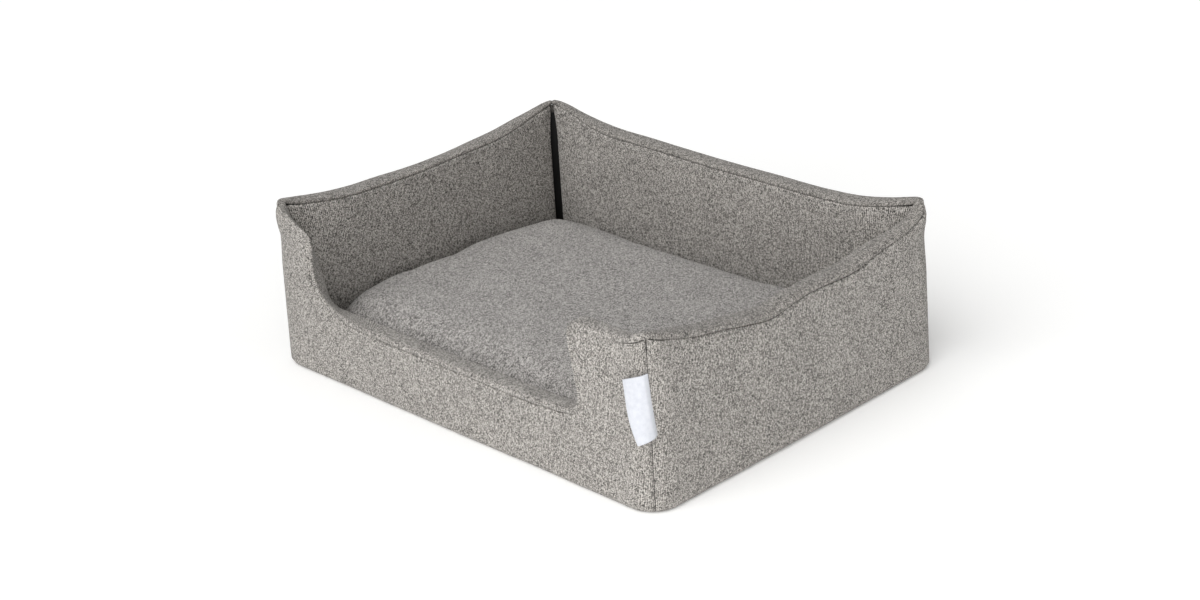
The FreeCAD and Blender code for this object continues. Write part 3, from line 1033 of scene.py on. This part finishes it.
def roundedLoop(halfX, halfY, radius, pull, spacing):
    # closed outline with rounded corners whose sides are drawn in by pull at their middles
    loop = []
    for turn, sideX, sideY in ((0, 1, 1), (90, -1, 1), (180, -1, -1), (270, 1, -1)):
        centre = np.array((sideX * (halfX - radius), sideY * (halfY - radius)))
        for part in np.linspace(0, 90, 9):
            angle = math.radians(turn + part)
            loop.append(centre + radius * np.array((math.cos(angle), math.sin(angle))))
        nextSide = {0: (-1, 1), 90: (-1, -1), 180: (1, -1), 270: (1, 1)}[turn]
        end = loop[-1]
        other = np.array((nextSide[0] * (halfX - radius), nextSide[1] * (halfY - radius)))
        inwardSide = -np.array((math.cos(math.radians(turn + 90)), math.sin(math.radians(turn + 90))))
        far = other - inwardSide * radius
        count = max(int(np.linalg.norm(far - end) / spacing), 2)
        for share in np.linspace(0, 1, count + 1)[1:-1]:
            loop.append(end + (far - end) * share + inwardSide * pull * math.sin(math.pi * share) ** 2)
    return np.array(loop)


def loopDepth(points, loop):
    # distance from a closed outline
    closed = np.vstack((loop, loop[:1]))
    index = np.arange(len(closed))
    between = np.arange(0, len(loop), 0.34)
    fine = np.column_stack([np.interp(between, index, closed[:, i]) for i in (0, 1)])
    best = np.full(len(points), 9.0)
    for chunk in np.array_split(np.arange(len(points)), 12):
        gaps = points[chunk][:, None, :] - fine[None, :, :]
        best[chunk] = np.sqrt((gaps**2).sum(axis=2).min(axis=1))
    return best


def gridInside(loop, spacing, clear):
    low, high = loop.min(axis=0), loop.max(axis=0)
    rows, lines = (np.arange(low[i], high[i], spacing) for i in (0, 1))
    grid = np.array([(x, y) for x in rows for y in lines])
    grid = grid[insideMany(grid, loop)]
    return grid[loopDepth(grid, loop) > clear]


def insideMany(points, loop):
    # even and odd crossings of a level ray
    ends = np.roll(loop, -1, axis=0)
    x, y = points[:, :1], points[:, 1:]
    crosses = (loop[:, 1] > y) != (ends[:, 1] > y)
    rise = np.where(np.abs(ends[:, 1] - loop[:, 1]) < 1e-12, 1e-12, ends[:, 1] - loop[:, 1])
    at = loop[:, 0] + (y - loop[:, 1]) * (ends[:, 0] - loop[:, 0]) / rise
    return (crosses & (x < at)).sum(axis=1) % 2 == 1


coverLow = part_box("cushion_cover_bottom")[0]
seamLow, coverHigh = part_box("cushion_cover_top")
cushionLook = {
    "corner": 56 * mm,
    "sidePull": 4.0 * mm,
    "startInset": 2.0 * mm,  # the pad starts smaller than it ends
    "crown": 40 * mm,
    "crownReach": 120 * mm,
    "fullCrown": 45 * mm,  # the same where the cushion is pressed against the left wall
    "fullReach": 120 * mm,
    "fullPlace": -30 * mm,  # the middle of that stretch, its half and its fading ends
    "fullHalf": 60 * mm,
    "fullFade": 140 * mm,
    "belly": 40 * mm,
    "voxel": 6 * mm,
    "pressure": 4.0,
    "frames": 20,
    "mostTravel": 9 * mm,
    "drawIn": 0.3,  # share of the sideways travel that is kept
    "softTop": 14 * mm,  # the crown flattens over this height
    "seamDip": 1.8 * mm,
    "zipFlat": 199.2 * mm,  # y of the cover behind the zip
    "zipFrom": 170 * mm,  # y past which it is drawn there
}
seamZ = seamLow.z
cushionMiddle = np.array(((coverLow.x + coverHigh.x) / 2, (coverLow.y + coverHigh.y) / 2))
cushionHalf = np.array(((coverHigh.x - coverLow.x) / 2, (coverHigh.y - coverLow.y) / 2))


def pillowShell(inset, crown, spacing=12 * mm):
    # closed crowned form: domed on top, flat below where it lies on the floor
    look = cushionLook
    loop = roundedLoop(
        cushionHalf[0] - inset, cushionHalf[1] - inset, look["corner"] - inset, look["sidePull"], spacing
    )
    rings = [loop * (1 - row / cushionHalf) for row in (2.5 * mm, 6 * mm, 11 * mm)]
    inner = np.vstack(rings + [gridInside(loop, spacing, 17 * mm)])
    flat, faces = cutRegion(loop, inner)
    depth = loopDepth(flat, loop)
    near = smoothStep((-flat[:, 0] - cushionHalf[0] + look["fullReach"]) / look["fullReach"])
    along = np.abs(flat[:, 1] - look["fullPlace"]) - look["fullHalf"]
    near = near * (1 - smoothStep(along / look["fullFade"]))
    reach = look["crownReach"] + (look["fullCrown"] - look["crownReach"]) * near
    share = np.clip(depth / reach, 0, 1)
    up = crown * (1 - (1 - share) ** 2.6) ** 0.68
    under = np.clip(depth / look["belly"], 0, 1)
    drop = (seamZ - coverLow.z - inset * 0.4) * np.sqrt(1 - (1 - under) ** 2)
    up[depth < 1e-5] = 0
    drop[depth < 1e-5] = 0
    top = np.column_stack((flat + cushionMiddle, seamZ + up))
    below = np.column_stack((flat + cushionMiddle, seamZ - drop))
    return closeShell(top, below, faces)


def appliedMesh(piece, name):
    evaluated = piece.evaluated_get(bpy.context.evaluated_depsgraph_get())
    mesh = bpy.data.meshes.new_from_object(evaluated)
    mesh.name = name
    return mesh


def places(mesh):
    points = np.empty(len(mesh.vertices) * 3)
    mesh.vertices.foreach_get("co", points)
    return points.reshape(-1, 3)


def inflated(name, points, faces):
    # the shell blown up as a stuffed cloth bag, with its travel capped
    look = cushionLook
    work = newObject(name, plainMesh(name, points, faces))
    addModifier(work, "REMESH", mode="VOXEL", voxel_size=look["voxel"])
    mesh = appliedMesh(work, name)
    work.modifiers.clear()
    work.data = mesh
    start = places(mesh)
    cloth = addModifier(work, "CLOTH")
    cloth.settings.use_pressure = True
    cloth.settings.uniform_pressure_force = look["pressure"]
    cloth.settings.effector_weights.gravity = 0
    cloth.settings.quality = 4
    scene = bpy.context.scene
    cloth.point_cache.frame_start = 1
    cloth.point_cache.frame_end = look["frames"]
    for frameNumber in range(1, look["frames"] + 1):
        scene.frame_set(frameNumber)
    moved = places(appliedMesh(work, name)) - start
    length = np.linalg.norm(moved, axis=1)[:, None]
    moved = moved * np.minimum(1, look["mostTravel"] / np.maximum(length, 1e-9))
    moved[:, :2] *= look["drawIn"]
    start = start + moved
    work.modifiers.clear()
    scene.frame_set(1)
    mesh.vertices.foreach_set("co", start.ravel())
    mesh.update()
    return work


def settleCushion(points):
    # keeps the cover in its room, flat on the floor, dipped at its seam and flat behind its zip
    look = cushionLook
    low = np.array(coverLow) + (0.5 * mm, 0.6 * mm, 0.1 * mm)
    high = np.array(coverHigh) - (0.5 * mm, 0.4 * mm, -5 * mm)
    x, y, z = points.T
    soft = high[2] - look["softTop"]
    z = np.where(z > soft, soft + look["softTop"] * np.tanh((z - soft) / look["softTop"]), z)
    wide = np.column_stack((x, y, z * 0.4))
    lively = smoothStep((z - coverLow.z) / (20 * mm))
    z = z + waves(wide, 0.13, 61) * 1.5 * mm * lively + waves(wide, 0.055, 63) * 0.5 * mm * lively
    z = np.where(z < coverLow.z + 2.5 * mm, low[2], z)
    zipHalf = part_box("cushion_zip_tape_upper")[1].x + 4 * mm
    near = smoothStep((zipHalf + 6 * mm - np.abs(x)) / (6 * mm)) * (y > look["zipFrom"])
    near = near * smoothStep((15 * mm - np.abs(z - seamZ)) / (6 * mm))
    middle = points[:, :2] - cushionMiddle
    out = middle / np.linalg.norm(middle, axis=1)[:, None]
    rim = loopDepth(middle, roundedLoop(*cushionHalf, look["corner"], look["sidePull"], 10 * mm))
    dip = look["seamDip"] * np.exp(-(((z - seamZ) / (3.0 * mm)) ** 2)) * (rim < 25 * mm)
    x = x - out[:, 0] * dip
    y = y - out[:, 1] * dip
    y = y + (look["zipFlat"] - y) * near
    return np.clip(np.column_stack((x, y, z)), low, high)


def boxWeave(mesh, seed):
    # weave coordinates taken level on top and upright at the sides
    layer = mesh.uv_layers.new(name="weave")
    normals = np.empty(len(mesh.polygons) * 3)
    mesh.polygons.foreach_get("normal", normals)
    totals = np.empty(len(mesh.polygons), int)
    mesh.polygons.foreach_get("loop_total", totals)
    normals = np.repeat(normals.reshape(-1, 3), totals, axis=0)
    points = places(mesh)[cornerPoints(mesh)]
    level = np.abs(normals[:, 2]) > 0.4
    side = np.abs(normals[:, 0]) > np.abs(normals[:, 1])
    u = np.where(level | ~side, points[:, 0], points[:, 1])
    v = np.where(level, points[:, 1], points[:, 2])
    layer.data.foreach_set("uv", (columns(u, v) + seed * 0.61).ravel())


def finishSoft(work, look, nodes, seed):
    mesh = work.data
    boxWeave(mesh, seed)
    dress(mesh, look)
    finishPiece(work, "cushion", nodes)


def addCushion():
    shell = pillowShell(cushionLook["startInset"], cushionLook["crown"])
    work = inflated("cushion_cover", *shell)
    addModifier(work, "SUBSURF", levels=1, render_levels=1)
    mesh = appliedMesh(work, "cushion_cover")
    work.modifiers.clear()
    work.data = mesh
    settled = settleCushion(places(mesh))
    mesh.vertices.foreach_set("co", settled.ravel())
    mesh.update()
    finishSoft(work, "cushion_cloth", ["cushion_cover_top", "cushion_cover_bottom"], 9)
    for name, look, node, inset, drop in (
        ("cushion_bag", "bag_cloth", "cushion_inner_bag", 16 * mm, 9 * mm),
        ("cushion_stuffing", "filling", "cushion_filling", 22 * mm, 13 * mm),
    ):
        points, faces = pillowShell(inset, cushionLook["crown"] - drop, 20 * mm)
        points[:, 2] = np.clip(points[:, 2], coverLow.z + drop * 0.4, None)
        finishSoft(newObject(name, plainMesh(name, points, faces)), look, [node], 10)
    return mesh


cushionMesh = addCushion()
print("cushion made:", len(cushionMesh.vertices), "points")


def layerPiece(name, look, node, radius, lift, drop):
    # a layer of the floor, slightly uneven
    low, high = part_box(node)
    loop = roundedLoop((high.x - low.x) / 2, (high.y - low.y) / 2, radius, 0, 25 * mm)
    inner = gridInside(loop, 22 * mm, 10 * mm)
    inner = np.vstack((inner, loop * (1 - 1.5 * mm / loop.max(axis=0))))
    flat, faces = cutRegion(loop, inner)
    depth = loopDepth(flat, loop)
    wave = waves(columns(*flat.T, 0), 0.09, 3) * lift
    top = np.column_stack((flat, high.z - lift + wave - roll(depth, 2 * mm, drop)))
    points, shell = closeShell(top, columns(*flat.T, low.z), faces)
    piece = makePiece(name, points, shell, look, nodes=[node], uv=points[:, :2])


layerPiece("floor_pad", "foam", "base_pad", 4 * mm, 0.3 * mm, 1.5 * mm)
layerPiece(
    "floor_lining_cloth", "lining_cloth", "floor_lining", 4 * mm, 0.25 * mm, 0.4 * mm
)
layerPiece(
    "floor_under_cloth", "floor_cloth", "bottom_panel", 33 * mm, 0.1 * mm, 0.3 * mm
)


# Geometry Nodes make what repeats: stitches along seams, zip teeth, and the grips underneath


class Builder(Wire):
    # the same wiring for a Geometry Nodes tree, with named inputs
    def ask(self, name, kind, value):
        socket = self.tree.interface.new_socket(name, in_out="INPUT", socket_type=kind)
        if value is not None:
            socket.default_value = value
        return socket.identifier


def newBuilder(name, inputs):
    tree = bpy.data.node_groups.new(name, "GeometryNodeTree")
    builder = Builder(tree)
    builder.ask("Geometry", "NodeSocketGeometry", None)
    builder.names = {"Material": builder.ask("Material", "NodeSocketMaterial", None)}
    for title, value in inputs.items():
        builder.names[title] = builder.ask(title, "NodeSocketFloat", value)
    tree.interface.new_socket("Geometry", in_out="OUTPUT", socket_type="NodeSocketGeometry")
    entry = tree.nodes.new("NodeGroupInput")
    builder.entry = {socket.name: Wire(tree, socket) for socket in entry.outputs if socket.name}
    return builder


def closeBuilder(builder, instances):
    # realized instances with their finish, out of the tree
    real = builder.node("GeometryNodeRealizeInstances", None, {0: instances})
    painted = builder.node(
        "GeometryNodeSetMaterial", None, {"Geometry": real, "Material": builder.entry["Material"]}
    )
    leave = builder.tree.nodes.new("NodeGroupOutput")
    builder.tree.links.new(painted.socket, leave.inputs[0])
    return builder


def runBuilder(builder, name, mesh, material, body, values=None):
    # the tree's result on a mesh, as a plain mesh that rides on one body
    source = newObject(name + "_path", mesh)
    modifier = source.modifiers.new("Builder", "NODES")
    modifier.node_group = builder.tree
    modifier[builder.names["Material"]] = findMaterial(material)
    for title, value in (values or {}).items():
        modifier[builder.names[title]] = value
    made = appliedMesh(source, name)
    bpy.data.objects.remove(source)
    made.materials.clear()
    dress(made, material)
    piece = newObject(name, made)
    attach(piece, body)
    return piece


def rowBuilder(name, inputs, kind, shape, scale, follows=False):
    # small pieces laid at even steps along every line of a mesh
    builder = newBuilder(name, inputs)
    entry = builder.entry
    line = builder.node("GeometryNodeMeshToCurve", None, {0: entry["Geometry"]})
    spaced = builder.node(
        "GeometryNodeCurveToPoints", {"mode": "LENGTH"}, {"Curve": line, "Length": entry["Step"]}
    )
    sockets = {
        "Points": spaced,
        "Instance": builder.node(kind, None, shape),
        "Scale": vectorOf(builder, *(entry[title] for title in scale)),
    }
    if follows:
        sockets["Rotation"] = spaced.outlet("Rotation")
    return closeBuilder(builder, builder.node("GeometryNodeInstanceOnPoints", None, sockets))


def linesMesh(lines):
    # one mesh of several open lines
    points = []
    edges = []
    for line in lines:
        first = len(points)
        points += [tuple(p) for p in line]
        edges += [(first + i, first + i + 1) for i in range(len(line) - 1)]
    return plainMesh("lines", points, [], edges)


stitchLook = {"Step": 4.2 * mm, "Length": 2.4 * mm, "Thread": 0.7 * mm}
stitchSink = 2.2 * mm
stitchTree = rowBuilder(
    "stitches",
    stitchLook,
    "GeometryNodeMeshUVSphere",
    {"Segments": 6, "Rings": 4, "Radius": 0.5},
    ("Thread", "Thread", "Length"),
    follows=True,
)


def seamLines():
    # the sewn lines of the walls: both edges of the top strips and the upright corner seams
    lines = []
    for wall in walls:
        outer = seamUnder(tops[wall][:, :2], "outer")
        inner = seamUnder(tops[wall][:, 2:], "inner")
        lines.append(outerPoints(wall, *outer.T, stitchSink)[1:-1])
        turn = math.radians(walls[wall][0])
        away = np.array((math.sin(turn), -math.cos(turn), 0))
        lines.append((planeInside(wall, *inner.T) + away * 1.2 * mm)[1:-1])
        z = linePoints(14 * mm, tops[wall][-1, 1] - 4 * mm, 5 * mm)
        lines.append(outerPoints(wall, walls[wall][1], z, 1.7 * mm))
    return lines


def addSeamStitches():
    runBuilder(
        stitchTree, "wall_seam_stitches", linesMesh(seamLines()), "seam_thread", "frame"
    )
    tree = BVHTree.FromPolygons(
        [tuple(v.co) for v in cushionMesh.vertices],
        [tuple(p.vertices) for p in cushionMesh.polygons],
    )
    ring = []
    loop = roundedLoop(*(cushionHalf + 30 * mm), cushionLook["corner"], 0, 8 * mm)
    for x, y in loop:
        start = Vector((x + cushionMiddle[0], y + cushionMiddle[1], seamZ))
        aim = Vector((cushionMiddle[0] - start.x, cushionMiddle[1] - start.y, 0)).normalized()
        hit = tree.ray_cast(start, aim)[0]
        if hit and not (hit.y > 0.19 and abs(hit.x) < 0.2):
            ring.append(hit)
    lines = [[a, b] for a, b in zip(ring, ring[1:] + ring[:1]) if (a - b).length < 30 * mm]
    chain = []
    for a, b in lines:
        if chain and (chain[-1][-1] - a).length < 1e-6:
            chain[-1].append(b)
        else:
            chain.append([a, b])
    runBuilder(
        stitchTree, "cushion_seam_stitches", linesMesh(chain), "seam_thread", "cushion"
    )


addSeamStitches()
print("seams stitched")


toothLook = {"Step": 2.2 * mm, "Length": 2.1 * mm, "Width": 1.1 * mm, "Height": 1.5 * mm}
toothInset = 1.2 * mm  # from the end of the row
toothShift = 1.1 * mm  # of the upper row, so that the teeth sit between each other


def addZipTeeth():
    tree = rowBuilder(
        "teeth",
        toothLook,
        "GeometryNodeMeshIcoSphere",
        {"Radius": 0.56, "Subdivisions": 2},
        ("Width", "Height", "Length"),
    )
    for zipName, body in (("frame_zip", "frame"), ("cushion_zip", "cushion")):
        for side in ("upper", "lower"):
            node = zipName + "_teeth_" + side
            low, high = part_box(node)
            y, z = (low.y + high.y) / 2, (low.z + high.z) / 2
            shift = toothShift if side == "upper" else 0.0
            start = low.x + toothInset + shift
            end = high.x - toothInset - toothShift + shift
            mesh = linesMesh([[(start, y, z), (end, y, z)]])
            values = {"Length": (high.z - low.z) * 0.95, "Height": (high.y - low.y) * 0.93}
            piece = runBuilder(tree, node + "_row", mesh, "zip_teeth", body, values)
            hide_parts(node)


def addGrips():
    # small rubber dots under the bed
    builder = newBuilder("grips", {"Pitch": 22 * mm, "Size": 3.2 * mm, "Stand": 0.5 * mm})
    entry = builder.entry
    low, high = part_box("bottom_panel")
    x, y = high.x - 18 * mm, high.y - 18 * mm
    grid = builder.node(
        "GeometryNodeMeshGrid",
        None,
        {
            "Size X": 2 * x,
            "Size Y": 2 * y,
            "Vertices X": 2 * x / entry["Pitch"],
            "Vertices Y": 2 * y / entry["Pitch"],
        },
    )
    dome = builder.node("GeometryNodeMeshIcoSphere", None, {"Radius": 1.0, "Subdivisions": 2})
    size = vectorOf(builder, entry["Size"], entry["Size"], entry["Stand"])
    laid = builder.node(
        "GeometryNodeInstanceOnPoints", None, {"Points": grid, "Instance": dome, "Scale": size}
    )
    placed = builder.node(
        "GeometryNodeTransform", None, {"Geometry": laid, "Translation": (0.0, 0.0, 0.5 * mm)}
    )
    closeBuilder(builder, placed)
    seedLine = linesMesh([[(0, 0, 0), (0, 0, 1 * mm)]])
    runBuilder(builder, "floor_grips", seedLine, "floor_cloth", "frame")


addZipTeeth()
addGrips()
for nodeName in ("tape_upper", "tape_lower", "stop_top", "stop_bottom", "slider", "pull"):
    for zipName in ("frame_zip_", "cushion_zip_"):
        finish = findMaterial("zip_tape" if "tape" in nodeName else "zip_metal")
        node = bpy.data.objects[zipName + nodeName]
        if not node.material_slots:
            node.data.materials.append(finish)
        for place in node.material_slots:
            place.material = finish
print("zips finished")


labelLook = {
    "reach": 35 * mm,  # from the seam to the fold
    "height": 70 * mm,
    "top": 162 * mm,
    "droop": 10.0 * mm,
    "footReach": 22 * mm,  # of the lower end, which curls out of the way
    "footDroop": 8 * mm,
    "footShift": 8 * mm,  # the lower end swings towards the corner
    "gap": 1.1 * mm,  # between its two layers
    "stand": 2.2 * mm,
    "curl": 7.5 * mm,
    "cloth": 0.35 * mm,
}


def addLabel():
    # one ribbon folded double, its two ends sewn into the corner seam; it hangs a little
    look = labelLook
    half = walls["front"][1]
    across = 14
    down = 18
    points = []
    uv = []
    for j in range(down + 1):
        b = j / down
        reach = look["reach"] + (look["footReach"] - look["reach"]) * b**1.3
        droop = look["droop"] + (look["footDroop"] - look["droop"]) * b
        curl = look["curl"] * b**1.5 + 1.5 * mm
        layers = [(i / across, 1) for i in range(across + 1)]
        layers += [(i / across, -1) for i in range(across, -1, -1)]
        for number, (a, layer) in enumerate(layers):
            s = half + 0.5 * mm - a * reach + look["footShift"] * b**1.3
            z = look["top"] - b * look["height"] - droop * a * (0.55 + 0.45 * a)
            fold = math.sqrt(max(0.0, 1 - max(0.0, (a - 0.9) / 0.1) ** 2))
            spread = min(1.0, a / 0.15)
            out = look["stand"] * spread + curl * math.sin(math.pi * min(a, 1) * 0.62) * spread
            out = out + layer * look["gap"] * 0.5 * fold * spread - 0.6 * mm * (1 - spread)
            out = out + 0.5 * mm * math.sin(7 * b + 3 * a) * spread
            points.append(outerPoints("front", np.array([s]), z, -out)[0])
            uv.append((number * look["reach"] / across, b * look["height"]))
    faces = gridFaces(down + 1, 2 * across + 2, flipped=True)
    piece = makePiece("corner_label", points, faces, "label_cloth", nodes=["label"], uv=uv)
    addModifier(piece, "SOLIDIFY", thickness=look["cloth"], offset=0)
    addModifier(piece, "SUBSURF", levels=1, render_levels=1)


def addCareLabel():
    # small tab in the cushion's back seam
    low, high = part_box("care_label")
    across, down = 10, 8
    points = []
    uv = []
    for j in range(down + 1):
        for i in range(across + 1):
            a, b = i / across, j / down
            x = low.x + (high.x - low.x) * a
            z = high.z - (high.z - low.z) * b
            y = low.y - 0.6 * mm + 1.6 * mm * b * b + 0.35 * mm * math.sin(5 * a + 2 * b)
            points.append((x, y, z))
            uv.append((x, z))
    points = np.array(points)
    faces = faced(points, gridFaces(down + 1, across + 1), backwards)
    piece = makePiece(
        "cushion_care_label", points, faces, "label_cloth", "cushion", ["care_label"], uv
    )
    addModifier(piece, "SOLIDIFY", thickness=0.3 * mm, offset=0)


addLabel()
addCareLabel()
print("labels sewn in")

stageLook = {
    "floor": "fafaf9",
    "haze": "fefefd",
    "floorSize": 12.0,
    "glow": 0.085,  # keeps the floor pale
    "sky": 0.535,
    "key": 1.88,
    "keyAngle": 55.0,
    "keyFrom": (0.12, -0.95, 1.0),
    "side": 5.0,
    "sideSize": 0.6,
    "sidePlace": (1.15, -1.1, 0.36),
    "sideAim": (0.25, -0.2, 0.1),
}


def addFloor():
    # pale floor with its edges far away
    size = stageLook["floorSize"] / 2
    corners = [(-size, -size, 0), (size, -size, 0), (size, size, 0), (-size, size, 0)]
    mesh = plainMesh("studio_floor", corners, [(0, 1, 2, 3)])
    maker, shader = newMaterial(
        "studio_floor",
        **{"Roughness": 0.9, "Emission Color": (1, 1, 1, 1), "Emission Strength": stageLook["glow"]}
    )
    place = maker.node("ShaderNodeTexCoord").outlet("Object")
    haze = grain(maker, place, 3.0, 2.0)
    tint = haze.mixColour(colour(stageLook["floor"]), colour(stageLook["haze"]))
    feed(maker, shader, "Base Color", tint)
    mesh.materials.append(findMaterial("studio_floor"))
    newObject("studio_floor", mesh)


def addLights():
    look = stageLook
    key = bpy.data.lights.new("key_light", "SUN")
    key.energy = look["key"]
    key.angle = math.radians(look["keyAngle"])
    lamp = newObject("key_light", key)
    lamp.rotation_euler = Vector(look["keyFrom"]).to_track_quat("Z", "Y").to_euler()
    side = bpy.data.lights.new("side_light", "AREA")
    side.shape = "DISK"
    side.size = look["sideSize"]
    side.energy = look["side"]
    lamp = newObject("side_light", side)
    lamp.location = look["sidePlace"]
    aim = Vector(look["sideAim"]) - Vector(look["sidePlace"])
    lamp.rotation_euler = aim.to_track_quat("-Z", "Y").to_euler()
    world = bpy.data.worlds.new("studio")
    world.use_nodes = True
    backdrop = world.node_tree.nodes["Background"]
    backdrop.inputs["Color"].default_value = (1, 1, 1, 1)
    seen = Wire(world.node_tree).node("ShaderNodeLightPath")
    level = seen * (1 - stageLook["sky"]) + stageLook["sky"]
    world.node_tree.links.new(level.socket, backdrop.inputs["Strength"])
    bpy.context.scene.world = world
    bpy.context.scene.view_settings.view_transform = "Standard"


cameraLook = {
    "azimuth": 46.76,  # degrees, as are elevation and roll
    "elevation": 23.36,
    "roll": -3.83,
    "distance": 2.6,
    "right": -0.0036,
    "up": 0.0739,
    "lens": 64.3,
}


def addCamera():
    look = cameraLook
    azimuth, elevation, tilt = (math.radians(look[name]) for name in ("azimuth", "elevation", "roll"))
    back = Vector((math.sin(azimuth), -math.cos(azimuth), 0)) * math.cos(elevation)
    back.z = math.sin(elevation)
    level = Vector((0, 0, 1)).cross(back).normalized()
    upright = back.cross(level)
    right = level * math.cos(tilt) + upright * math.sin(tilt)
    up = upright * math.cos(tilt) - level * math.sin(tilt)
    eye = back * look["distance"] + right * look["right"] + up * look["up"]
    camera = bpy.data.cameras.new("camera")
    camera.lens = look["lens"]
    camera.sensor_width = 36
    holder = newObject("camera", camera)
    turn = Matrix((right, up, back)).transposed().to_4x4()
    holder.matrix_world = Matrix.Translation(eye) @ turn
    bpy.context.scene.camera = holder


addFloor()
addLights()
addCamera()
